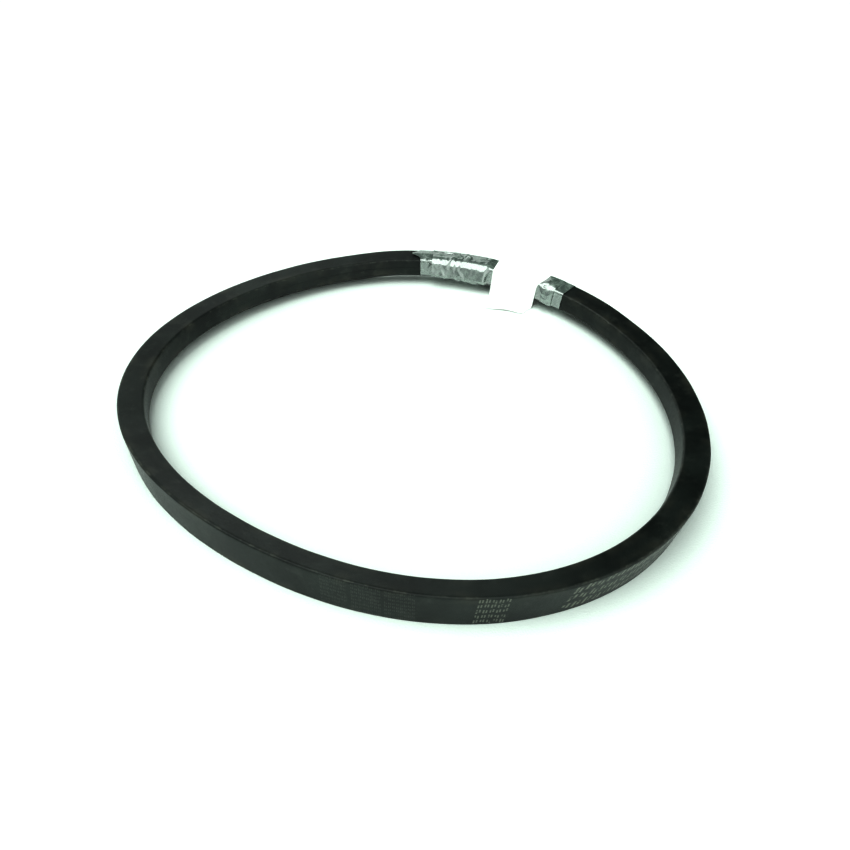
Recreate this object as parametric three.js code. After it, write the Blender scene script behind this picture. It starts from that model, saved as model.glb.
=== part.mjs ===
// A wrapped classical V-belt of section C, lying on its side as one loose loop, with a blank paper tag
// folded round it and two turns of clear film over the belt and under the tag.
// Millimetres, +Z up. The belt lies on the plane Z = 0, and the Z axis runs up the middle of its box.
//
// Every piece is a sheet, a layer or a cord that follows the loop, so each one is a profile in the belt's
// cross-section, swept round the loop through the same stations. A profile point is [depth, height]:
// depth is measured in from the back face, and height is measured up from the section's centre line.
import * as THREE from 'three';

const { degToRad, smoothstep } = THREE.MathUtils;

// The belt's section and length.
const BACK_WIDTH = 22;
const THICKNESS = 14;
const INSIDE_LENGTH = 1016;
const FLANK_ANGLE = degToRad(20);
const BACK_CORNER = { across: 0.6, deep: 1.2 };
const BASE_CORNER = { across: 1.0, deep: 0.95 };

// What the belt is built of, from the back face in. The gap is left between each two pieces.
const GAP = 0.1;
const PLY = 0.5;
const SEAM = 0.5;
const COVER = 2 * (PLY + GAP);
const TENSION_RUBBER = 1.2;
const ADHESION_RUBBER = 0.6;
const CORD_DIAMETER = 1.7;
const CORD_PITCH = 2.0;
const CORD_TURNS = 7;
const CORD_SIDES = 5;

// What is wrapped round it. Each arc is a part of the loop, in degrees from the +X axis.
const FILM = 0.15;
const FILM_INNER_ARC = { from: 43.5, to: 88.5 };
const FILM_OUTER_ARC = { from: 46, to: 85 };
const PAPER = 0.2;
const TAG_ARC = { from: 52.3, to: 66.5 };
const TAIL = { floorGap: 0.05, reach: 8, lengthAtStart: 16, lengthAtEnd: 26 };

// How the loop lies. It is nearly a circle, and the belt's own spring adds a few shallow waves to it.
// The section leans outwards a little, more at the back of the loop than at the front.
const STATIONS = 72;
const STEP = 360 / STATIONS;
const OUTLINE_MIDDLE = new THREE.Vector2(3.8, -1.7);
const OUTLINE_WAVES = [
  { order: 2, share: 0.038, peak: -34 },
  { order: 3, share: 0.025, peak: -53 },
  { order: 4, share: 0.005, peak: 5 },
  { order: 5, share: 0.002, peak: 29 },
];
const LEAN = 8;
const LEAN_WAVES = [
  { order: 1, share: 5.2, peak: 72 },
  { order: 2, share: 4.7, peak: -30 },
];
const FOOT = 0.95;
const LIFT = { height: 1.4, from: 40, to: 92, run: 20 };

const belt = new THREE.Group();

// ---- The loop ----

function waves(angle, list) {
  return list.reduce((sum, wave) => {
    const turn = degToRad(wave.order * (angle - wave.peak));
    return sum + wave.share * Math.cos(turn);
  }, 0);
}

function outlinePoint(angle) {
  const radius = 1 + waves(angle, OUTLINE_WAVES);
  const turn = degToRad(angle);
  return new THREE.Vector2(radius * Math.cos(turn), radius * Math.sin(turn));
}

// The back face is longer than the inside length by the belt's thickness all the way round.
function outlineScale() {
  const samples = 3600;
  let length = 0;
  for (let i = 0; i < samples; i += 1) {
    const from = outlinePoint((i * 360) / samples);
    const to = outlinePoint(((i + 1) * 360) / samples);
    length += from.distanceTo(to);
  }
  return (INSIDE_LENGTH + 2 * Math.PI * THICKNESS) / length;
}

// The film and the tag pass under the belt, so the belt is lifted where they are.
function liftAt(angle) {
  const rise = smoothstep(angle, LIFT.from - LIFT.run, LIFT.from);
  const fall = smoothstep(angle, LIFT.to, LIFT.to + LIFT.run);
  return LIFT.height * rise * (1 - fall);
}

function makeStation(index, scale) {
  const angle = index * STEP;
  const nudge = 0.01;
  const along = outlinePoint(angle + nudge).sub(outlinePoint(angle - nudge)).normalize();
  const lean = degToRad(LEAN + waves(angle, LEAN_WAVES));
  return {
    point: outlinePoint(angle).multiplyScalar(scale).add(OUTLINE_MIDDLE),
    outward: new THREE.Vector2(along.y, -along.x),
    lean,
    rise: (BACK_WIDTH / 2) * Math.cos(lean) - FOOT + liftAt(angle),
  };
}

const SCALE = outlineScale();
const LOOP = Array.from({ length: STATIONS }, (_, index) => makeStation(index, SCALE));

// A point of the leaning section in plan: [how far in from the back's outline, how high].
function planPoint({ lean, rise }, [depth, height]) {
  const inward = depth * Math.cos(lean) - height * Math.sin(lean);
  const up = depth * Math.sin(lean) + height * Math.cos(lean) + rise;
  return [inward, up];
}

// The foot of the belt is pressed flat where it meets the plane that it lies on.
function spacePoint({ point, outward }, [inward, up]) {
  const x = point.x - inward * outward.x;
  const y = point.y - inward * outward.y;
  return new THREE.Vector3(x, y, Math.max(up, 0));
}

// ---- Profiles in the cross-section, each anticlockwise ----

// Half of the section's width at a depth, for an outline that is set in from the faces.
function halfWidth(depth, inset) {
  return BACK_WIDTH / 2 - depth * Math.tan(FLANK_ANGLE) - inset / Math.cos(FLANK_ANGLE);
}

// The upper half of the outline, from the back face to the base, with its corners cut.
function upperSide(inset) {
  const base = THICKNESS - inset;
  const flankStart = inset + BACK_CORNER.deep;
  const flankEnd = base - BASE_CORNER.deep;
  return [
    [inset, halfWidth(inset, inset) - BACK_CORNER.across],
    [flankStart, halfWidth(flankStart, inset)],
    [flankEnd, halfWidth(flankEnd, inset)],
    [base, halfWidth(base, inset) - BASE_CORNER.across],
  ];
}

function lowerSide(inset) {
  return upperSide(inset).map(([depth, height]) => [depth, -height]);
}

function anticlockwise(profile) {
  const flat = profile.map(([a, b]) => new THREE.Vector2(a, b));
  return THREE.ShapeUtils.isClockWise(flat) ? [...profile].reverse() : profile;
}

// Gives an open path a thickness, half to each side of it, with mitred corners.
function thicken(path, thickness) {
  const points = path.map(([a, b]) => new THREE.Vector2(a, b));
  const runs = points.slice(1).map((point, i) => point.clone().sub(points[i]).normalize());
  const offsets = points.map((_, i) => {
    const arriving = runs[Math.max(i - 1, 0)];
    const leaving = runs[Math.min(i, runs.length - 1)];
    const along = arriving.clone().add(leaving).normalize();
    const reach = thickness / 2 / along.dot(arriving);
    return new THREE.Vector2(-along.y, along.x).multiplyScalar(reach);
  });
  const left = points.map((point, i) => point.clone().add(offsets[i]).toArray());
  const right = points.map((point, i) => point.clone().sub(offsets[i]).toArray());
  return anticlockwise([...left, ...right.reverse()]);
}

// A sheet wrapped round the section, set in from the faces, with its two edges meeting on the base.
function sheetMeetingOnBase(inset, thickness) {
  const middle = inset + thickness / 2;
  const base = THICKNESS - middle;
  const round = [...upperSide(middle).reverse(), ...lowerSide(middle)];
  return thicken([[base, SEAM / 2], ...round, [base, -SEAM / 2]], thickness);
}

function sheetMeetingOnBack(inset, thickness) {
  const middle = inset + thickness / 2;
  const round = [...upperSide(middle), ...lowerSide(middle).reverse()];
  return thicken([[middle, SEAM / 2], ...round, [middle, -SEAM / 2]], thickness);
}

// A layer of the core between two depths. Its ends are cut where they fill the cover's corners.
function coreLayer(top, bottom) {
  const side = upperSide(COVER);
  const within = side.filter(([depth]) => depth > top && depth < bottom);
  const start = top > COVER ? [top, halfWidth(top, COVER)] : side[0];
  const end = bottom < THICKNESS - COVER ? [bottom, halfWidth(bottom, COVER)] : side[3];
  const upper = [start, ...within, end];
  const lower = upper.map(([depth, height]) => [depth, -height]);
  return anticlockwise([...upper, ...lower.reverse()]);
}

function cordCircle(depth, height) {
  return Array.from({ length: CORD_SIDES }, (_, i) => {
    const turn = (i * 2 * Math.PI) / CORD_SIDES;
    const radius = CORD_DIAMETER / 2;
    return [depth + radius * Math.cos(turn), height + radius * Math.sin(turn)];
  });
}

// The tag's strip in plan. It runs from the tail's end to the belt, round the section and back again.
function tagStrip(station, inset, tailLength) {
  const middle = inset - PAPER / 2;
  const wrap = [...lowerSide(middle).reverse(), ...upperSide(middle)];
  const parting = lowerSide(middle)[3];
  const round = [...wrap, [parting[0], parting[1] + 1]].map((point) => planPoint(station, point));
  const [cornerIn] = planPoint(station, parting);
  const under = TAIL.floorGap + PAPER / 2;
  const over = under + PAPER + GAP;
  const underTail = [[cornerIn + tailLength, under], [cornerIn + TAIL.reach, under]];
  const overTail = [[cornerIn + TAIL.reach, over], [cornerIn + tailLength, over]];
  return thicken([...underTail, ...round, ...overTail], PAPER);
}

// ---- Solids ----

// The belt twists a little from station to station, so a four-sided patch isn't flat. It is split from
// its lower corner on the first ring, whichever way the profile runs, and so nested sheets split alike.
function patch(points, [a, b, c, d]) {
  const rank = (index) => points[index].z - Math.hypot(points[index].x, points[index].y);
  return rank(b) > rank(a) ? [a, b, c, a, c, d] : [a, b, d, b, c, d];
}

// Joins the rings of points into one skin, and adds a cap at each end of an open run.
function skin(rings, capFaces) {
  const count = rings[0].length;
  const points = rings.flat();
  const faces = [];
  const spans = capFaces ? rings.length - 1 : rings.length;
  for (let ring = 0; ring < spans; ring += 1) {
    const here = ring * count;
    const there = ((ring + 1) % rings.length) * count;
    for (let i = 0; i < count; i += 1) {
      const next = (i + 1) % count;
      faces.push(...patch(points, [here + i, here + next, there + next, there + i]));
    }
  }
  const last = (rings.length - 1) * count;
  (capFaces ?? []).forEach(([a, b, c]) => {
    faces.push(c, b, a);
    faces.push(last + a, last + b, last + c);
  });
  const geometry = new THREE.BufferGeometry();
  const positions = points.flatMap((point) => point.toArray());
  geometry.setAttribute('position', new THREE.Float32BufferAttribute(positions, 3));
  geometry.setIndex(faces);
  geometry.computeVertexNormals();
  return geometry;
}

function capOf(profile) {
  const flat = profile.map(([a, b]) => new THREE.Vector2(a, b));
  return THREE.ShapeUtils.triangulateShape(flat, []);
}

// A profile that runs all the way round the loop.
function endless(profile) {
  const rings = LOOP.map((station) => (
    profile.map((point) => spacePoint(station, planPoint(station, point)))
  ));
  return skin(rings, null);
}

// A ring at any angle lies on the straight lines between the two stations, as the belt under it does.
function ringBetween(angle, planProfile) {
  const index = Math.floor(angle / STEP);
  const [before, after] = [LOOP[index], LOOP[index + 1]];
  const start = planProfile(before, angle).map((point) => spacePoint(before, point));
  const end = planProfile(after, angle).map((point) => spacePoint(after, point));
  return start.map((point, i) => point.lerp(end[i], angle / STEP - index));
}

// A profile that covers only an arc of the loop. It is given in plan, for a station and an angle.
function alongArc({ from, to }, planProfile) {
  const angles = [from];
  for (let index = Math.floor(from / STEP) + 1; index * STEP < to; index += 1) {
    angles.push(index * STEP);
  }
  angles.push(to);
  const rings = angles.map((angle) => ringBetween(angle, planProfile));
  return skin(rings, capOf(planProfile(LOOP[Math.floor(from / STEP)], from)));
}

function filmAlong(arc, inset) {
  const profile = sheetMeetingOnBase(inset - FILM, FILM);
  return alongArc(arc, (station) => profile.map((point) => planPoint(station, point)));
}

function tagAlong(arc, inset) {
  return alongArc(arc, (station, angle) => {
    const share = (angle - arc.from) / (arc.to - arc.from);
    const tail = THREE.MathUtils.lerp(TAIL.lengthAtStart, TAIL.lengthAtEnd, share);
    return tagStrip(station, inset, tail);
  });
}

// One cord, wound round the loop side by side with itself from one flank to the other.
function woundCord(depth) {
  const steps = CORD_TURNS * STATIONS;
  const rings = Array.from({ length: steps + 1 }, (_, i) => {
    const station = LOOP[i % STATIONS];
    const height = CORD_PITCH * (i / STATIONS - CORD_TURNS / 2);
    const circle = cordCircle(depth, height);
    return circle.map((point) => spacePoint(station, planPoint(station, point)));
  });
  return skin(rings, capOf(cordCircle(depth, 0)));
}

// ---- The pieces ----

function addPiece(name, geometry, color, roughness) {
  const material = new THREE.MeshStandardMaterial({ color, roughness, metalness: 0 });
  const mesh = new THREE.Mesh(geometry, material);
  mesh.name = name;
  belt.add(mesh);
}

function addCover() {
  addPiece('cover_outer_ply', endless(sheetMeetingOnBase(0, PLY)), 0x23292a, 0.85);
  addPiece('cover_inner_ply', endless(sheetMeetingOnBack(PLY + GAP, PLY)), 0x3a3f3c, 0.9);
}

// The layers are stacked from the back face in, each one a gap below the last.
function addCore() {
  const tensionEnd = COVER + TENSION_RUBBER;
  const upperGum = tensionEnd + GAP;
  const cordLayer = upperGum + ADHESION_RUBBER + GAP;
  const lowerGum = cordLayer + CORD_DIAMETER + GAP;
  const compression = lowerGum + ADHESION_RUBBER + GAP;
  addPiece('tension_rubber', endless(coreLayer(COVER, tensionEnd)), 0x1b1c1d, 0.6);
  addPiece('adhesion_rubber_upper', endless(coreLayer(upperGum, cordLayer - GAP)), 0x33291f, 0.55);
  addPiece('tensile_cord', woundCord(cordLayer + CORD_DIAMETER / 2), 0xb98a5c, 0.8);
  addPiece('adhesion_rubber_lower', endless(coreLayer(lowerGum, compression - GAP)), 0x33291f, 0.55);
  addPiece('compression_rubber', endless(coreLayer(compression, THICKNESS - COVER)), 0x151616, 0.7);
}

// Each wrapping lies a gap outside the one below it.
function addWrappings() {
  const firstTurn = -GAP;
  const secondTurn = firstTurn - FILM - GAP;
  const tag = secondTurn - FILM - GAP;
  addPiece('clear_film_first_turn', filmAlong(FILM_INNER_ARC, firstTurn), 0xa9bdb1, 0.15);
  addPiece('clear_film_second_turn', filmAlong(FILM_OUTER_ARC, secondTurn), 0xb6c8bd, 0.15);
  addPiece('paper_size_tag', tagAlong(TAG_ARC, tag), 0xf4f4f0, 0.9);
}

addCover();
addCore();
addWrappings();

export default belt;
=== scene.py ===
"""Looks for a wrapped V-belt that lies on its side, with a folded paper tag and two turns of clear film.

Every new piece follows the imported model's loop. A place on the belt is an angle round the loop in
degrees, and [depth, height] in the belt's cross-section: depth is measured in from the back face, and
height up from the section's centre line. Lengths are in metres. A share runs from 0 to 1.
"""
import math

import bpy
import numpy as np
from mathutils import Matrix, Vector


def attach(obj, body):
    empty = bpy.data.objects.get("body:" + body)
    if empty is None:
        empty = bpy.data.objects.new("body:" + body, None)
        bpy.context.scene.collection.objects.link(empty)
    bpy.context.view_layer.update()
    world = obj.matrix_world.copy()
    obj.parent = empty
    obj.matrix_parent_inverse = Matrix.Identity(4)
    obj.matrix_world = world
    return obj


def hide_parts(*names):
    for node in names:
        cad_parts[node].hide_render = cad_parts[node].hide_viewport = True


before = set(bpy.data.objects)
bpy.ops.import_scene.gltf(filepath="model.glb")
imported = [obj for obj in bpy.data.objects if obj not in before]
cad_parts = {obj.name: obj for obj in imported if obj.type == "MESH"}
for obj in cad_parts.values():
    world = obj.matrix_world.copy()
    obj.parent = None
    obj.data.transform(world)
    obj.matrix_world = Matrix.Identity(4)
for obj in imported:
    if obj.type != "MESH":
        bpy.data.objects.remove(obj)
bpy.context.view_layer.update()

MM = 0.001

# The belt's section and the loop that it lies in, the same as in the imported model.
BACK_WIDTH = 22 * MM
THICKNESS = 14 * MM
INSIDE_LENGTH = 1016 * MM
FLANK_ANGLE = math.radians(20)
FLANK_SLOPE = math.tan(FLANK_ANGLE)
FLANK_COS = math.cos(FLANK_ANGLE)
OUTLINE_MIDDLE = np.array([3.8, -1.7]) * MM
# A wave is how often it comes round the loop, its size, and the angle of a peak.
OUTLINE_WAVES = [(2, 0.038, -34), (3, 0.025, -53), (4, 0.005, 5), (5, 0.002, 29)]
# How far the belt's upper edge leans outwards, in degrees.
LEAN = 8
LEAN_WAVES = [(1, 5.2, 72), (2, 4.7, -30)]
# The section's sharp lower corner would be FOOT below the floor, and LIFT higher over the wrappings.
FOOT = 0.95 * MM
LIFT = 1.4 * MM
LIFT_FROM, LIFT_TO, LIFT_RUN = 40, 92, 20

# The jacket: one ply of rubbered fabric, rounded at the corners, with its lap along the base.
PLY = 0.5 * MM
BACK_RADIUS = 1.0 * MM
BASE_RADIUS = 1.5 * MM
LAP_RISE = 0.3 * MM
LAP_RUN = 9 * MM
LAP_SLIT = 0.15 * MM
THREAD_PITCH = 0.75 * MM
# The jacket's unevenness: its depth, and how many waves of how many laps round the loop make it up.
UNEVEN = 0.2 * MM
UNEVEN_SEED = 3
UNEVEN_WAVES = 14
UNEVEN_LAPS = (6, 40)
UNEVEN_SKEW = 120
JACKET_STATIONS = 720
OUTSIDE_SPACING, OUTSIDE_ARC_STEPS = 1.2 * MM, 6
INSIDE_SPACING, INSIDE_ARC_STEPS = 2.4 * MM, 4

# The wrappings. An arc is from one angle of the loop to another.
FILM = 0.06 * MM
FILM_ONE_ARC = (43.5, 88.5)
FILM_TWO_ARC = (46.5, 85)
PAPER = 0.2 * MM
TAG_ARC = (52.3, 66.5)


# ---- The loop and its cross-section ----

def smooth(value, low, high):
    share = np.clip((value - low) / (high - low), 0, 1)
    return share * share * (3 - 2 * share)


def hump(value, middle, width):
    return np.exp(-((value - middle) / width) ** 2)


def waves(angles, terms):
    return sum(size * np.cos(np.radians(times * (angles - peak))) for times, size, peak in terms)


def unit_outline(angles):
    radius = 1 + waves(angles, OUTLINE_WAVES)
    turn = np.radians(angles)
    return np.stack([radius * np.cos(turn), radius * np.sin(turn)], axis=-1)


def length_of(points):
    return np.linalg.norm(np.diff(points, axis=0), axis=1).sum()


BACK_LENGTH = INSIDE_LENGTH + 2 * math.pi * THICKNESS
SCALE = BACK_LENGTH / length_of(unit_outline(np.linspace(0, 360, 3601)))


def column(angles):
    """Angles with one row for each place along the loop. They may differ from point to point."""
    return angles if angles.ndim == 2 else angles[:, None]


def lean_and_rise(angles):
    """How far the section leans, and how high its centre line is at the back face."""
    lean = np.radians(LEAN + waves(angles, LEAN_WAVES))
    lifted = smooth(angles, LIFT_FROM - LIFT_RUN, LIFT_FROM)
    lifted = lifted * (1 - smooth(angles, LIFT_TO, LIFT_TO + LIFT_RUN))
    return lean, BACK_WIDTH / 2 * np.cos(lean) - FOOT + LIFT * lifted


def in_plan(angles, depth, height):
    """How far in from the back's outline a place in the leaning section is, and how high."""
    lean, rise = lean_and_rise(column(angles))
    inward = depth * np.cos(lean) - height * np.sin(lean)
    up = depth * np.sin(lean) + height * np.cos(lean) + rise
    return inward, up


def from_plan(angles, inward, up):
    """Points in space, none of them below the floor."""
    angles = column(angles)
    nudge = 0.01
    along = unit_outline(angles + nudge) - unit_outline(angles - nudge)
    along /= np.linalg.norm(along, axis=-1, keepdims=True)
    middle = unit_outline(angles) * SCALE + OUTLINE_MIDDLE
    x = middle[..., 0] - inward * along[..., 1]
    y = middle[..., 1] + inward * along[..., 0]
    return np.stack([x, y, np.maximum(up, 0) + 0 * x], axis=-1)


def place(angles, depth, height):
    """Points in space for angles of shape (n,) or (n, m) and section places of shape (m,) or (n, m)."""
    return from_plan(angles, *in_plan(angles, depth, height))


def half_width(depth, inset):
    return BACK_WIDTH / 2 - depth * FLANK_SLOPE - inset / FLANK_COS


def section_corners(inset):
    """The section's four corners, anticlockwise from the upper one on the base."""
    base, back = THICKNESS - inset, inset
    upper = [(base, half_width(base, inset)), (back, half_width(back, inset))]
    return upper + [(depth, -height) for depth, height in reversed(upper)]


def straight(start, end, spacing, count):
    """Points after start as far as end: a set count of them, or as many as the spacing gives."""
    if count is None:
        count = max(1, round(float(np.linalg.norm(end - start)) / spacing))
    return [start + (end - start) * step / count for step in range(1, count + 1)]


def rounded_path(points, radii, arc_steps, spacing=0.0, counts=None):
    """Points and outward normals along an open path whose inner corners are rounded.

    Paths match point for point where counts gives the number of points on each straight run.
    """
    points = [np.array(p, float) for p in points]
    counts = counts or [None] * (len(radii) + 1)
    line = [points[0]]
    for before, corner, after, radius, count in zip(points, points[1:], points[2:], radii, counts):
        arriving = (corner - before) / np.linalg.norm(corner - before)
        leaving = (after - corner) / np.linalg.norm(after - corner)
        turn = math.acos(float(np.clip(arriving @ leaving, -1, 1)))
        side = math.copysign(1, arriving[0] * leaving[1] - arriving[1] * leaving[0])
        start = corner - arriving * radius * math.tan(turn / 2)
        line += straight(line[-1], start, spacing, count)
        normal = np.array([-arriving[1], arriving[0]]) * side
        centre = start + normal * radius
        for step in range(1, arc_steps + 1):
            swing = turn * step / arc_steps
            line.append(centre - normal * radius * math.cos(swing) + arriving * radius * math.sin(swing))
    line += straight(line[-1], points[-1], spacing, counts[-1])
    line = np.array(line)
    along = np.gradient(line, axis=0)
    along /= np.linalg.norm(along, axis=1, keepdims=True)
    return line, np.stack([along[:, 1], -along[:, 0]], axis=1)


def section_path(inset, spacing, arc_steps, seam=0.0):
    """Once round the section from the middle of the base, with its two ends a seam apart."""
    base = THICKNESS - inset
    radii = [radius - inset for radius in (BASE_RADIUS, BACK_RADIUS, BACK_RADIUS, BASE_RADIUS)]
    points = [(base, 0)] + section_corners(inset) + [(base, -seam)]
    return rounded_path(points, radii, arc_steps, spacing)


def distance_along(line):
    return np.concatenate([[0], np.cumsum(np.linalg.norm(np.diff(line, axis=0), axis=1))])


# ---- Meshes ----

def new_piece(name, points, faces, uvs, nodes, material):
    """A mesh object that stands for CAD nodes. uvs holds a pair for each corner of each face."""
    mesh = bpy.data.meshes.new(name)
    mesh.from_pydata(points.tolist(), [], faces.tolist())
    layer = mesh.uv_layers.new(name="surface")
    layer.data.foreach_set("uv", uvs.astype(np.float32).ravel())
    mesh.polygons.foreach_set("use_smooth", [True] * len(faces))
    mesh.set_sharp_from_angle(angle=math.radians(60))
    mesh.materials.append(material)
    piece = bpy.data.objects.new(name, mesh)
    bpy.context.scene.collection.objects.link(piece)
    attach(piece, "root")
    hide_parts(*nodes)


def grid_faces(rows, columns, wrap_rows, wrap_columns, first=0):
    """Four-sided faces over a grid of points, and the grid place of each face's corners."""
    r, c = np.meshgrid(
        np.arange(rows if wrap_rows else rows - 1),
        np.arange(columns if wrap_columns else columns - 1),
        indexing="ij",
    )
    r, c = r.ravel(), c.ravel()
    places = np.stack([[r, c], [r, c + 1], [r + 1, c + 1], [r + 1, c]]).transpose(2, 0, 1)
    faces = first + (places[:, :, 0] % rows) * columns + places[:, :, 1] % columns
    return faces, places


def closed_sheet(outer, inner):
    """Joins two grids of the same shape into one thin closed body."""
    rows, columns = outer.shape[:2]
    top, top_places = grid_faces(rows, columns, False, False)
    under, under_places = grid_faces(rows, columns, False, False, rows * columns)
    across = [(0, c) for c in range(columns)] + [(r, columns - 1) for r in range(1, rows)]
    back = [(rows - 1, c) for c in range(columns - 2, -1, -1)] + [(r, 0) for r in range(rows - 2, 0, -1)]
    rim = across + back
    edge, edge_places = [], []
    for here, there in zip(rim, rim[1:] + rim[:1]):
        a, b = (p[0] * columns + p[1] for p in (here, there))
        edge.append([a, a + rows * columns, b + rows * columns, b])
        edge_places.append([here, here, there, there])
    faces = np.concatenate([top, under[:, ::-1], np.array(edge)])
    places = np.concatenate([top_places, under_places[:, ::-1], np.array(edge_places)])
    uvs = places / np.array([rows - 1, columns - 1])
    return np.concatenate([outer.reshape(-1, 3), inner.reshape(-1, 3)]), faces, uvs


# ---- Node helpers ----

class Shader:
    """A material's node tree, built with short calls. An input may be a number or a socket."""

    def __init__(self, name, roughness, specular=0.5):
        self.material = bpy.data.materials.new(name)
        self.material.use_nodes = True
        self.tree = self.material.node_tree
        self.surface = self.tree.nodes["Principled BSDF"]
        self.surface.inputs["Roughness"].default_value = roughness
        self.surface.inputs["Specular IOR Level"].default_value = specular

    def feed(self, target, value):
        if isinstance(value, bpy.types.NodeSocket):
            self.tree.links.new(value, target)
        else:
            target.default_value = value

    def set(self, socket, value):
        self.feed(self.surface.inputs[socket], value)

    def node(self, kind, inputs, output=0, **settings):
        made = self.tree.nodes.new(kind)
        for key, value in settings.items():
            setattr(made, key, value)
        for key, value in inputs.items():
            self.feed(made.inputs[key], value)
        return made.outputs[output]

    def math(self, operation, first, second=0.0):
        return self.node("ShaderNodeMath", {0: first, 1: second}, operation=operation)

    def product(self, first, *others):
        for other in others:
            first = self.math("MULTIPLY", first, other)
        return first

    def distance(self, first, second):
        return self.math("ABSOLUTE", self.math("SUBTRACT", first, second))

    def place(self):
        return self.node("ShaderNodeTexCoord", {}, output="Object")

    def split_uv(self):
        uv = self.node("ShaderNodeUVMap", {}, uv_map="surface")
        parts = self.node("ShaderNodeSeparateXYZ", {0: uv}).node
        return parts.outputs[0], parts.outputs[1]

    def noise(self, vector, size, detail=3.0, roughness=0.55):
        """Noise whose blobs are about size metres across, from 0 to 1."""
        inputs = {"Vector": vector, "Scale": 1 / size, "Detail": detail, "Roughness": roughness}
        return self.node("ShaderNodeTexNoise", inputs)

    def ramp(self, value, low, high, to_low=0.0, to_high=1.0):
        inputs = {"Value": value, "From Min": low, "From Max": high, "To Min": to_low, "To Max": to_high}
        return self.node("ShaderNodeMapRange", inputs, interpolation_type="SMOOTHSTEP")

    def mix(self, share, first, second):
        """Mixes two colours, each a socket or three numbers."""
        made = self.tree.nodes.new("ShaderNodeMix")
        made.data_type = "RGBA"
        self.feed(made.inputs[0], share)
        for socket, value in ((6, first), (7, second)):
            self.feed(made.inputs[socket], (*value, 1) if isinstance(value, tuple) else value)
        return made.outputs[2]

    def bump(self, height, distance, strength=1.0, onto=None):
        inputs = {"Height": height, "Distance": distance, "Strength": strength}
        if onto is not None:
            inputs["Normal"] = onto
        return self.node("ShaderNodeBump", inputs)


# ---- The jacket ----

def uneven(angles, across):
    """A shallow unevenness that closes on itself round the loop."""
    chance = np.random.RandomState(UNEVEN_SEED)
    total = 0
    for _ in range(UNEVEN_WAVES):
        laps = chance.randint(*UNEVEN_LAPS)
        skew = chance.uniform(-UNEVEN_SKEW, UNEVEN_SKEW)
        start = chance.uniform(0, 2 * math.pi)
        total = total + np.sin(np.radians(laps * angles)[:, None] + skew * across[None] + start)
    return total * UNEVEN / UNEVEN_WAVES


def make_jacket(material):
    angles = np.arange(JACKET_STATIONS) * 360 / JACKET_STATIONS - 180
    outer = section_path(0, OUTSIDE_SPACING, OUTSIDE_ARC_STEPS, seam=LAP_SLIT)
    inner = section_path(PLY, INSIDE_SPACING, INSIDE_ARC_STEPS, seam=LAP_SLIT)
    rings, shares = [], []
    for line, normal in (outer, inner):
        along = distance_along(line)
        proud = LAP_RISE * (1 - smooth(along, 0, LAP_RUN)) + uneven(angles, along)
        depth = line[:, 0] + normal[:, 0] * proud
        height = line[:, 1] + normal[:, 1] * proud
        rings.append(place(angles, depth, height))
        shares.append(along / along[-1])
    points = np.concatenate([rings[0], rings[1][:, ::-1]], axis=1)
    share = np.concatenate([shares[0], shares[1][::-1]])
    rows, columns = points.shape[:2]
    faces, places = grid_faces(rows, columns, True, True)
    u = places[:, :, 0] / rows
    v = share[places[:, :, 1] % columns]
    uvs = np.stack([u, v], axis=-1)
    points = points.reshape(-1, 3)
    new_piece("jacket", points, faces, uvs, ["cover_outer_ply"], material)


SECTION_LINE = section_path(0, OUTSIDE_SPACING, OUTSIDE_ARC_STEPS, seam=LAP_SLIT)[0]
PERIMETER = float(distance_along(SECTION_LINE)[-1])
# How far round the section, from the middle of the base, the back face's centre line is.
BACK_MIDDLE = PERIMETER / 2
# How far from that centre line the section's corners are, on the way round.
EDGE_PLACES = (BACK_WIDTH / 2 - 0.2 * MM, BACK_WIDTH / 2 + THICKNESS / FLANK_COS - 0.8 * MM)

BLACK = (0.0060, 0.0098, 0.0082)
FADED_BLACK = (0.0180, 0.0250, 0.0215)
DUST = (0.045, 0.052, 0.045)
SPECK = (0.075, 0.085, 0.07)
SOIL = (0.044, 0.046, 0.036)
RUBBED_THREAD = (0.085, 0.092, 0.075)
FAINT_PRINT = (0.12, 0.13, 0.11)
BOLD_PRINT = (0.22, 0.235, 0.19)
LARGE_PRINT = (0.24, 0.26, 0.21)

# A block of ticks is its arc, its top and bottom, its columns and rows, how far each row is shifted
# against the one above, and a seed.
FAINT_ARCS = ((-105, -100.3), (-99.7, -94.7), (-94.3, -89.4))
FAINT_BLOCKS = [(arc, (10.5 * MM, -10.4 * MM), (8, 8), 0.0, arc[0]) for arc in FAINT_ARCS]
BOLD_BLOCK = ((-80.2, -75.2), (10.4 * MM, -9.8 * MM), (5, 5), 0.14, 3)
LARGE_BLOCK = ((-65.5, -44), (9.6 * MM, -8.8 * MM), (12, 3), 0.4, 8)
# Where in its cell each of a mark's two ticks is, and how far from its middle a tick fades out.
TICKS = (0.27, 0.7)
TICK_OUTSIDE, TICK_INSIDE = 0.17, 0.07


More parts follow.
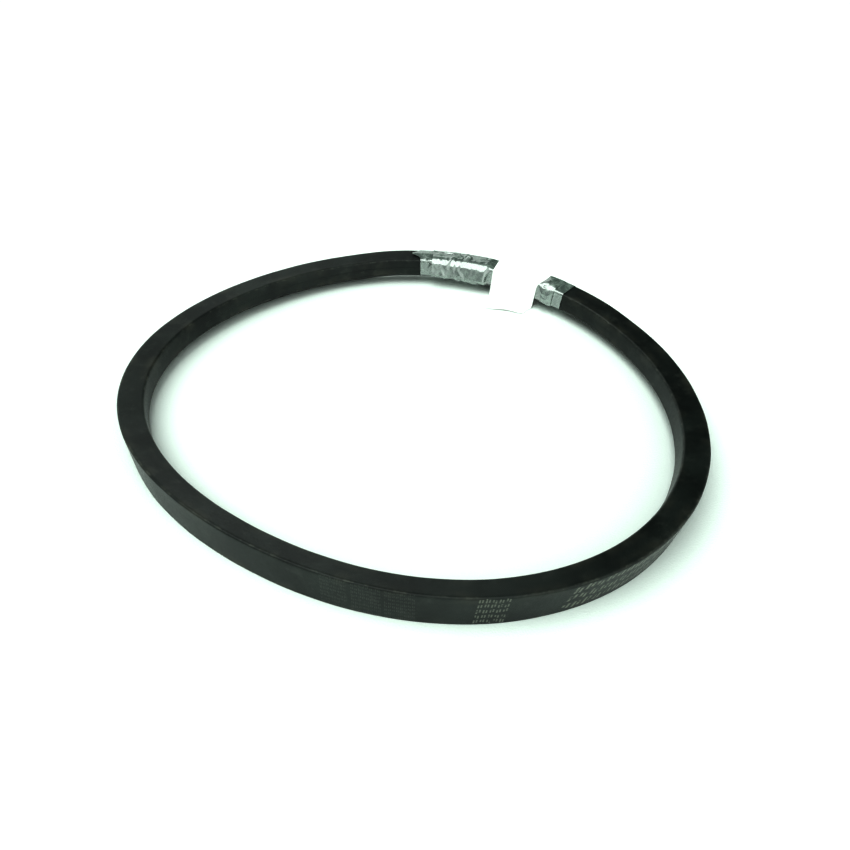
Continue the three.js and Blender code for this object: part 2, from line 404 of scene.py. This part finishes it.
def printed_block(s, angle, height, block):
    """Rows of short slanted ticks. It stands for print, and says nothing."""
    (start, end), (top, bottom), (columns, rows), shear, seed = block
    b = s.product(s.math("SUBTRACT", top, height), rows / (top - bottom))
    a = s.product(s.math("SUBTRACT", angle, start), columns / (end - start))
    a = s.math("ADD", a, s.product(b, shear))
    inside = s.product(
        s.math("GREATER_THAN", a, 0),
        s.math("LESS_THAN", a, columns),
        s.math("GREATER_THAN", b, 0),
        s.math("LESS_THAN", b, rows),
    )
    cell = s.node("ShaderNodeCombineXYZ", {0: s.math("FLOOR", a), 1: s.math("FLOOR", b), 2: seed})
    chance = s.node("ShaderNodeTexWhiteNoise", {"Vector": cell}, output="Color")
    parts = s.node("ShaderNodeSeparateXYZ", {0: chance}).node
    x, y = s.math("FRACT", a), s.math("FRACT", b)
    marks = 0.0
    for draw, middle in enumerate(TICKS):
        stroke = s.ramp(s.distance(x, middle), TICK_OUTSIDE, TICK_INSIDE)
        first = s.product(parts.outputs[draw], 0.3)
        last = s.math("ADD", 0.55, s.product(parts.outputs[2 - draw], 0.33))
        reach = s.product(s.math("GREATER_THAN", y, first), s.math("LESS_THAN", y, last))
        marks = s.math("MAXIMUM", s.product(stroke, reach), marks)
    return s.product(marks, inside)


def woven_height(s, u, v):
    """A weave on the bias, with a whole number of threads round the loop."""
    threads = round(BACK_LENGTH / math.sqrt(2) / THREAD_PITCH)
    along = s.product(u, threads)
    across = s.product(v, PERIMETER / math.sqrt(2) / THREAD_PITCH)
    weft = s.math("SINE", s.product(s.math("ADD", along, across), math.pi))
    warp = s.math("SINE", s.product(s.math("SUBTRACT", along, across), math.pi))
    return s.product(s.math("ADD", s.math("ABSOLUTE", weft), s.math("ABSOLUTE", warp)), 0.5)


def dusty_fabric(s, spot):
    """Black fabric that is faded in clouds, with dust, and specks in some patches."""
    clouds = s.ramp(s.noise(spot, 30 * MM, 4), 0.35, 0.7)
    dust = s.ramp(s.noise(spot, 9 * MM, 5, 0.65), 0.52, 0.75)
    specks = s.ramp(s.noise(spot, 1.1 * MM, 2), 0.66, 0.74)
    patches = s.ramp(s.noise(spot, 40 * MM, 2), 0.5, 0.62)
    colour = s.mix(clouds, BLACK, FADED_BLACK)
    colour = s.mix(s.product(dust, 0.5), colour, DUST)
    return s.mix(s.product(specks, patches, 0.5), colour, SPECK)


def worn_corners(s, spot, height, colour):
    """Dirt and rubbed threads along the section's corners: the colour, and how matt the fabric is."""
    rubbed = s.ramp(s.noise(spot, 6 * MM, 5, 0.7), 0.48, 0.66)
    soiled = s.ramp(s.noise(spot, 22 * MM, 4, 0.6), 0.45, 0.68)
    matt = 0.0
    for corner in EDGE_PLACES:
        near = s.distance(s.math("ABSOLUTE", height), corner)
        matt = s.math("ADD", matt, s.ramp(near, 1.6 * MM, 0.5 * MM))
        colour = s.mix(s.product(s.ramp(near, 7 * MM, 0.5 * MM), soiled, 0.7), colour, SOIL)
        colour = s.mix(s.product(s.ramp(near, 1.0 * MM, 0.1 * MM), rubbed, 0.6), colour, RUBBED_THREAD)
    return colour, matt


def worn_print(s, spot, angle, height, colour):
    faint = 0.0
    for block in FAINT_BLOCKS:
        faint = s.math("ADD", faint, printed_block(s, angle, height, block))
    bold = printed_block(s, angle, height, BOLD_BLOCK)
    large = printed_block(s, angle, height, LARGE_BLOCK)
    left = s.ramp(s.noise(spot, 2.4 * MM, 2), 0.28, 0.5)
    inks = ((faint, 0.3, FAINT_PRINT), (bold, 0.6, BOLD_PRINT), (large, 0.7, LARGE_PRINT))
    for marks, strength, ink in inks:
        colour = s.mix(s.product(marks, left, strength), colour, ink)
    return colour


def jacket_material():
    s = Shader("jacket_fabric", 0.45, 0.45)
    spot = s.place()
    u, v = s.split_uv()
    angle = s.math("SUBTRACT", s.product(u, 360), 180)
    height = s.math("SUBTRACT", BACK_MIDDLE, s.product(v, PERIMETER))
    colour, matt = worn_corners(s, spot, height, dusty_fabric(s, spot))
    s.set("Base Color", worn_print(s, spot, angle, height, colour))
    sheen = s.ramp(s.noise(spot, 1.6 * MM, 3), 0.2, 0.8, 0.30, 0.40)
    s.set("Roughness", s.math("ADD", sheen, s.product(matt, 0.1)))
    rough = s.bump(s.noise(spot, 0.5 * MM, 2), 0.03 * MM)
    s.set("Normal", s.bump(woven_height(s, u, v), 0.05 * MM, 0.8, rough))
    return s.material


# ---- Clear film ----

# The film starts and ends on the lower flank, at these depths, and stands off the belt by these gaps.
FILM_START, FILM_END = 5 * MM, 4.5 * MM
FLANK_GAP = 0.25 * MM
BACK_GAP = 0.2 * MM
BASE_GAP = 0.5 * MM
# What the second turn adds to the gaps at the base and at its upper and lower corners, where it is loose.
BASE_SLACK, TOP_SLACK, FOOT_SLACK = 1.7 * MM, 1.6 * MM, 0.4 * MM
# The second turn also bulges near the floor by this much, from this angle on, which is left of the tag.
BULGE, BULGE_FROM = 3.6 * MM, 60
# The angles between which the second turn comes loose, at its right end.
COMES_LOOSE = (45.5, 48.5)
# How far from the tag the film is still held, and how far from it the film is quite free, in degrees.
HELD, FREE = 0.5, 2.5
# The radii of the film's bends, and what slack adds to those on the inside of the loop.
FOOT_BEND, FOOT_BEND_SLACK = 1.6 * MM, 0.8 * MM
INNER_BEND, INNER_BEND_SLACK = 2.2 * MM, 7.8 * MM
BACK_BENDS = (1.4 * MM, 1.2 * MM)
FILM_RUN_COUNTS = (16, 14, 22, 34, 8)
FILM_ARC_STEPS = 8
FILM_STEP = 0.2
# The folds are laid out on the flat film, which is FLAT_WIDTH long round the section. Their middles lie
# within FOLDED_WIDTH, and LOOP_RADIUS turns angles into lengths.
FOLD_COUNT = 110
FOLD_SEED = 11
FOLD_HEIGHT, FOLD_WIDTH, FOLD_REACH = 1.0 * MM, 2.2 * MM, 10 * MM
LOOP_RADIUS = 170 * MM
FLAT_WIDTH = 66 * MM
FOLDED_WIDTH = 62 * MM
DEEPEST_FOLD = -0.04 * MM
SECOND_TURN_OFF = 0.14 * MM
SECOND_TURN_HELD = 0.12 * MM
# The first turn's upper corner at the left stands out: how far along the belt in degrees, and off it.
FLAP_REACH, FLAP_OFF = 2.4, 0.5 * MM
# How far askew each end of the film is cut, in degrees.
SKEW = 0.5


def creases(x, y, seed, x_range, y_range):
    """Sharp folds that run in every direction, more of them across the belt than along it."""
    chance = np.random.RandomState(seed)
    total = np.zeros_like(x)
    for _ in range(FOLD_COUNT):
        cx, cy = chance.uniform(*x_range), chance.uniform(*y_range)
        turn = chance.normal(math.pi / 2, 0.7)
        height = FOLD_HEIGHT * chance.uniform(0.3, 1) * chance.choice([-0.6, 1])
        width = FOLD_WIDTH * chance.uniform(0.5, 1.4)
        reach = FOLD_REACH * chance.uniform(0.5, 1.3)
        along = (x - cx) * math.cos(turn) + (y - cy) * math.sin(turn)
        off = (y - cy) * math.cos(turn) - (x - cx) * math.sin(turn)
        taper = np.clip(1 - np.abs(along) / reach, 0, 1)
        total += height * np.clip(1 - np.abs(off) / (width * (0.3 + taper)), 0, 1) * smooth(taper, 0, 1)
    return total


def loose_share(angle):
    """None under the tag, which holds the film against the belt, and all of it further away."""
    low, high = TAG_ARC
    return 1 - smooth(angle, low - FREE, low - HELD) * (1 - smooth(angle, high + HELD, high + FREE))


def film_corners(angle, layer):
    """The film's path round the section, anticlockwise from the lower flank, and the radii of its bends.

    The first turn fits closely. The second hangs loose on the inside of the loop, except under the tag.
    """
    slack = layer * loose_share(angle) * smooth(angle, *COMES_LOOSE)
    (_, top), (back, peak), (_, foot), (_, low) = section_corners(-BACK_GAP)
    base = THICKNESS + BASE_GAP + BASE_SLACK * slack
    bulge = BULGE * slack * float(angle > BULGE_FROM)
    points = [
        (FILM_START, -half_width(FILM_START, -FLANK_GAP)),
        (base + bulge, low + FOOT_SLACK * slack),
        (base, top + BASE_GAP + TOP_SLACK * slack),
        (back, peak + FLANK_GAP),
        (back, foot),
        (FILM_END, -half_width(FILM_END, -FLANK_GAP)),
    ]
    return points, [FOOT_BEND + FOOT_BEND_SLACK * slack, INNER_BEND + INNER_BEND_SLACK * slack, *BACK_BENDS]


def film_line(angle, layer):
    points, bends = film_corners(angle, layer)
    return rounded_path(points, bends, FILM_ARC_STEPS, counts=FILM_RUN_COUNTS)


def film_off(angles, share, layer, flap):
    """How far the film stands off its line. Its folds are deepest on the base and the upper flank."""
    x = np.radians(angles)[:, None] * LOOP_RADIUS + 0 * share
    y = share * FLAT_WIDTH + 0 * x
    folds = creases(x, y, FOLD_SEED + layer, (x.min(), x.max()), (0, FOLDED_WIDTH))
    visible = smooth(share, 0.06, 0.14) * (1 - smooth(share, 0.5, 0.56))
    off = SECOND_TURN_OFF * layer + (0.3 + 0.7 * visible) * (0.5 + 0.5 * layer) * folds
    off = np.maximum(off, DEEPEST_FOLD) + FLAP_OFF * flap
    held = SECOND_TURN_HELD * layer
    return held + (off - held) * loose_share(angles)[:, None]


def make_film(name, arc, layer, node, material):
    """One turn of film. Layer is 0 for the first turn and 1 for the second."""
    rows = round((arc[1] - arc[0]) / FILM_STEP)
    angles = np.linspace(*arc, rows)
    lines, normals = (np.array(part) for part in zip(*(film_line(angle, layer) for angle in angles)))
    share = np.linspace(0, 1, lines.shape[1])[None]
    ends = np.linspace(0, 1, rows)[:, None]
    flap = hump(share, 0.47, 0.05) * smooth(ends, 0.8, 1) * (1 - layer)
    askew = SKEW * (share - 0.3) * (smooth(ends, 0.7, 1) - smooth(1 - ends, 0.7, 1))
    spread = angles[:, None] + flap * FLAP_REACH + askew
    off = film_off(angles, share, layer, flap)
    grids = []
    for extra in (FILM, 0):
        moved = lines + normals * (off + extra)[..., None]
        grids.append(place(spread, moved[..., 0], moved[..., 1]))
    # Where both sides of the film are pressed to the floor, one of them keeps the film's thickness.
    grids[0][:, :, 2] += FILM * (grids[0][:, :, 2] <= 0)
    points, faces, uvs = closed_sheet(*grids)
    new_piece(name, points, faces, uvs, [node], material)


def film_material():
    s = Shader("clear_film", 0.12, 1.0)
    spot = s.place()
    milky = s.ramp(s.noise(spot, 5 * MM, 4, 0.6), 0.35, 0.7)
    s.set("Base Color", s.mix(milky, (0.12, 0.155, 0.14), (0.26, 0.32, 0.285)))
    s.set("Alpha", 0.85)
    s.set("IOR", 2.1)
    s.set("Coat Weight", 1.0)
    s.set("Coat Roughness", 0.08)
    s.set("Roughness", s.ramp(milky, 0, 1, 0.1, 0.2))
    s.set("Normal", s.bump(s.noise(spot, 1.2 * MM, 3), 0.04 * MM))
    return s.material


# ---- Paper tag ----

TAG_STRANDS = 60
TAG_GAP = 1.0 * MM
TAG_SPACING, TAG_ARC_STEPS = 1.0 * MM, 6
# The tail that shows is this long at its right, and longer by this much at its left.
TAIL, TAIL_LONGER = 16 * MM, 10 * MM
TAIL_POINTS = 30
# The tail rises from the floor this far from the belt's base.
TAIL_FOLD = 2 * MM
TAIL_HEIGHT, TAIL_CURL = 0.45 * MM, 0.9 * MM
HIDDEN_TAIL_SHARE, HIDDEN_TAIL_HEIGHT = 0.97, 0.15 * MM
SOFTENING_PASSES = 6
# The strip's right side reaches further over the belt, most at this point of its path, by these degrees.
TAG_TOP_POINT, TAG_TOP_SPREAD, TAG_TOP_LEAN = 52, 14, 1.3
# The tail's left side comes in by this many degrees over this length.
TAIL_NARROWING, NARROWING_RUN = 2.6, 30 * MM


def tag_paths(angles, share):
    """Each strand's path in [inward, up]: over the floor, up and round the belt, and back underneath."""
    line, _ = section_path(-TAG_GAP, TAG_SPACING, TAG_ARC_STEPS)
    inward, up = in_plan(angles, line[:, 0], line[:, 1])
    # The strip leaves the belt a little past the back's lower corner.
    wrapped = len(line) * 3 // 4
    base_in, inward, up = inward[:, :1], inward[:, :wrapped], up[:, :wrapped]
    tail = TAIL + TAIL_LONGER * share
    run = np.linspace(1, 0, TAIL_POINTS)[None]
    over_in = base_in + TAIL_FOLD + run * (tail - TAIL_FOLD)
    over_up = TAIL_HEIGHT + TAIL_CURL * run ** 3 * hump(share, 0.45, 0.3)
    under_in = inward[:, -1:] + run[:, ::-1] * (base_in + tail * HIDDEN_TAIL_SHARE - inward[:, -1:])
    under_up = HIDDEN_TAIL_HEIGHT + 0 * under_in
    path_in = np.concatenate([over_in, inward, under_in], axis=1)
    path_up = np.concatenate([over_up, np.maximum(up, HIDDEN_TAIL_HEIGHT), under_up], axis=1)
    paths = np.stack([path_in, path_up], axis=2)
    for _ in range(SOFTENING_PASSES):
        paths[:, 1:-1] = (paths[:, :-2] + 2 * paths[:, 1:-1] + paths[:, 2:]) / 4
    return paths, base_in


def make_tag(material):
    """One strip of paper, folded round the belt a little askew."""
    angles = np.linspace(*TAG_ARC, TAG_STRANDS)
    share = np.linspace(0, 1, TAG_STRANDS)[:, None]
    paths, base_in = tag_paths(angles, share)
    along = np.gradient(paths, axis=1)
    along /= np.linalg.norm(along, axis=2, keepdims=True)
    normal = np.stack([along[:, :, 1], -along[:, :, 0]], axis=2)
    over_top = hump(np.arange(paths.shape[1]), TAG_TOP_POINT, TAG_TOP_SPREAD)[None]
    spread = angles[:, None] - TAG_TOP_LEAN * over_top * (1 - share)
    spread = spread - TAIL_NARROWING * share * smooth(paths[:, :, 0] - base_in, 0, NARROWING_RUN)
    grids = []
    for side in (0.5, -0.5):
        moved = paths + normal * PAPER * side
        grids.append(from_plan(spread, moved[:, :, 0], moved[:, :, 1]))
    points, faces, uvs = closed_sheet(*grids)
    new_piece("paper_tag", points, faces, uvs, ["paper_size_tag"], material)


def paper_material():
    s = Shader("tag_paper", 0.85, 0.3)
    fibres = s.noise(s.place(), 0.6 * MM, 5, 0.7)
    s.set("Base Color", s.mix(fibres, (0.80, 0.82, 0.80), (0.90, 0.91, 0.89)))
    s.set("Normal", s.bump(fibres, 0.03 * MM))
    return s.material


# ---- The layers inside ----

# Each layer's dark and light colour, the size of its grain, and its roughness.
INNER_LOOKS = {
    "cover_inner_ply": ((0.030, 0.034, 0.030), (0.055, 0.060, 0.054), 0.7 * MM, 0.85),
    "tension_rubber": ((0.010, 0.010, 0.011), (0.018, 0.018, 0.019), 2 * MM, 0.6),
    "adhesion_rubber_upper": ((0.026, 0.018, 0.011), (0.045, 0.032, 0.020), 2 * MM, 0.55),
    "adhesion_rubber_lower": ((0.026, 0.018, 0.011), (0.045, 0.032, 0.020), 2 * MM, 0.55),
    "tensile_cord": ((0.34, 0.20, 0.09), (0.52, 0.34, 0.18), 0.5 * MM, 0.8),
    "compression_rubber": ((0.008, 0.008, 0.008), (0.016, 0.016, 0.016), 1.5 * MM, 0.7),
}


def inner_material(name, dark, light, size, roughness):
    s = Shader(name, roughness, 0.4)
    grain = s.noise(s.place(), size, 4, 0.6)
    s.set("Base Color", s.mix(s.ramp(grain, 0.3, 0.7), dark, light))
    s.set("Normal", s.bump(grain, size / 10))
    return s.material


def dress_inner_nodes():
    for node, look in INNER_LOOKS.items():
        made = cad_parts[node]
        made.data.materials.clear()
        made.data.materials.append(inner_material(node + "_look", *look))


# ---- Floor, light and camera ----

FLOOR_HALF, FLOOR_STEPS = 4.0, 8
FLOOR_DROP = 0.02 * MM
# The room's strength, and how near a direction is to each side of it where that side starts and is full.
ROOM_LIGHT = 0.62
ROOM_DARK = 0.04
ROOM_FRONT = 1.1
DARK_SIDE = Vector((0.8, 0.55, 0.4)).normalized()
DARK_FROM, DARK_TO = 0.4, 0.75
FRONT_SIDE = Vector((0.75, -0.65, 0.3)).normalized()
FRONT_FROM, FRONT_TO = 0.1, 0.9
BACKDROP = 1.4
LIGHT_TINT = (0.93, 1.0, 0.965)
OVERHEAD_STRENGTH = 2.25
OVERHEAD_ANGLE = 60
OVERHEAD_FROM = Vector((-0.42, -0.1, 1))
# A white panel that stands behind the belt, at the left.
PANEL_LOW = Vector((-1.0, 0.85, 0.02))
PANEL_HIGH = Vector((0.16, 0.85, 0.62))
PANEL_RADIANCE = 0.9
CONTRAST = 0.65

SENSOR_WIDTH, LENS = 36, 28.67
CAMERA_SPOT = Vector((3.8, -358.3, 271.8)) * MM
CAMERA_FORWARD = Vector((0.0168, 0.7708, -0.6368))
CAMERA_ROLL = math.radians(1.5)


def make_floor():
    line = np.linspace(-FLOOR_HALF, FLOOR_HALF, FLOOR_STEPS + 1)
    x, y = np.meshgrid(line, line, indexing="ij")
    points = np.stack([x, y, 0 * x - FLOOR_DROP], axis=-1).reshape(-1, 3)
    faces, _ = grid_faces(FLOOR_STEPS + 1, FLOOR_STEPS + 1, False, False)
    mesh = bpy.data.meshes.new("floor")
    mesh.from_pydata(points.tolist(), [], faces[:, ::-1].tolist())
    s = Shader("floor", 0.6, 0.2)
    grain = s.noise(s.place(), 1.1 * MM, 3, 0.6)
    s.set("Base Color", s.mix(grain, (0.81, 0.87, 0.835), (0.87, 0.92, 0.89)))
    s.set("Normal", s.bump(grain, 0.2 * MM))
    mesh.materials.append(s.material)
    floor = bpy.data.objects.new("floor", mesh)
    bpy.context.scene.collection.objects.link(floor)


def room_share(tree, side, low, high, to_low, to_high):
    """A strength that changes with how near a direction is to one side of the room."""
    towards = tree.nodes.new("ShaderNodeTexCoord").outputs["Generated"]
    near = tree.nodes.new("ShaderNodeVectorMath")
    near.operation = "DOT_PRODUCT"
    near.inputs[1].default_value = side
    tree.links.new(towards, near.inputs[0])
    share = tree.nodes.new("ShaderNodeMapRange")
    share.interpolation_type = "SMOOTHSTEP"
    for name, value in zip(("From Min", "From Max", "To Min", "To Max"), (low, high, to_low, to_high)):
        share.inputs[name].default_value = value
    tree.links.new(near.outputs["Value"], share.inputs["Value"])
    return share.outputs["Result"]


def make_room():
    """An even room, dark at the right behind and lighter in front, with a plain pale backdrop."""
    world = bpy.data.worlds.new("studio")
    world.use_nodes = True
    tree = world.node_tree
    room = tree.nodes["Background"]
    room.inputs["Color"].default_value = (*LIGHT_TINT, 1)
    dark = room_share(tree, DARK_SIDE, DARK_FROM, DARK_TO, ROOM_LIGHT, ROOM_DARK)
    front = room_share(tree, FRONT_SIDE, FRONT_FROM, FRONT_TO, 0, ROOM_FRONT)
    total = tree.nodes.new("ShaderNodeMath")
    tree.links.new(dark, total.inputs[0])
    tree.links.new(front, total.inputs[1])
    tree.links.new(total.outputs[0], room.inputs["Strength"])
    backdrop = tree.nodes.new("ShaderNodeBackground")
    backdrop.inputs["Color"].default_value = (1, 1, 1, 1)
    backdrop.inputs["Strength"].default_value = BACKDROP
    seen = tree.nodes.new("ShaderNodeLightPath").outputs["Is Camera Ray"]
    both = tree.nodes.new("ShaderNodeMixShader")
    tree.links.new(seen, both.inputs[0])
    tree.links.new(room.outputs[0], both.inputs[1])
    tree.links.new(backdrop.outputs[0], both.inputs[2])
    tree.links.new(both.outputs[0], tree.nodes["World Output"].inputs["Surface"])
    bpy.context.scene.world = world


def make_light():
    """A broad soft light overhead, from a little to the left, and a white panel behind at the left."""
    data = bpy.data.lights.new("overhead", "SUN")
    data.energy = OVERHEAD_STRENGTH
    data.angle = math.radians(OVERHEAD_ANGLE)
    add_light("overhead", data, OVERHEAD_FROM, -OVERHEAD_FROM)
    data = bpy.data.lights.new("panel", "AREA")
    data.shape = "RECTANGLE"
    data.size = PANEL_HIGH.x - PANEL_LOW.x
    data.size_y = PANEL_HIGH.z - PANEL_LOW.z
    data.energy = PANEL_RADIANCE * math.pi * data.size * data.size_y
    add_light("panel", data, (PANEL_LOW + PANEL_HIGH) / 2, Vector((0, -1, 0)))


def add_light(name, data, spot, facing):
    data.color = LIGHT_TINT
    light = bpy.data.objects.new(name, data)
    light.location = spot
    light.rotation_mode = "QUATERNION"
    light.rotation_quaternion = facing.to_track_quat("-Z", "Y")
    light.visible_camera = False
    bpy.context.scene.collection.objects.link(light)


def make_camera():
    data = bpy.data.cameras.new("camera")
    data.sensor_width = SENSOR_WIDTH
    data.lens = LENS
    data.clip_start = 0.01
    camera = bpy.data.objects.new("camera", data)
    forward = CAMERA_FORWARD.normalized()
    level = forward.cross(Vector((0, 0, 1))).normalized()
    right = level * math.cos(CAMERA_ROLL) + level.cross(forward) * math.sin(CAMERA_ROLL)
    up = right.cross(forward)
    turn = Matrix((right, up, -forward)).transposed()
    camera.matrix_world = Matrix.Translation(CAMERA_SPOT) @ turn.to_4x4()
    bpy.context.scene.collection.objects.link(camera)
    bpy.context.scene.camera = camera


make_camera()
make_room()
make_light()
make_floor()
make_jacket(jacket_material())
film = film_material()
make_film("film_first_turn", FILM_ONE_ARC, 0, "clear_film_first_turn", film)
make_film("film_second_turn", FILM_TWO_ARC, 1, "clear_film_second_turn", film)
make_tag(paper_material())
dress_inner_nodes()
bpy.context.scene.view_settings.view_transform = "Standard"
bpy.context.scene.view_settings.gamma = CONTRAST
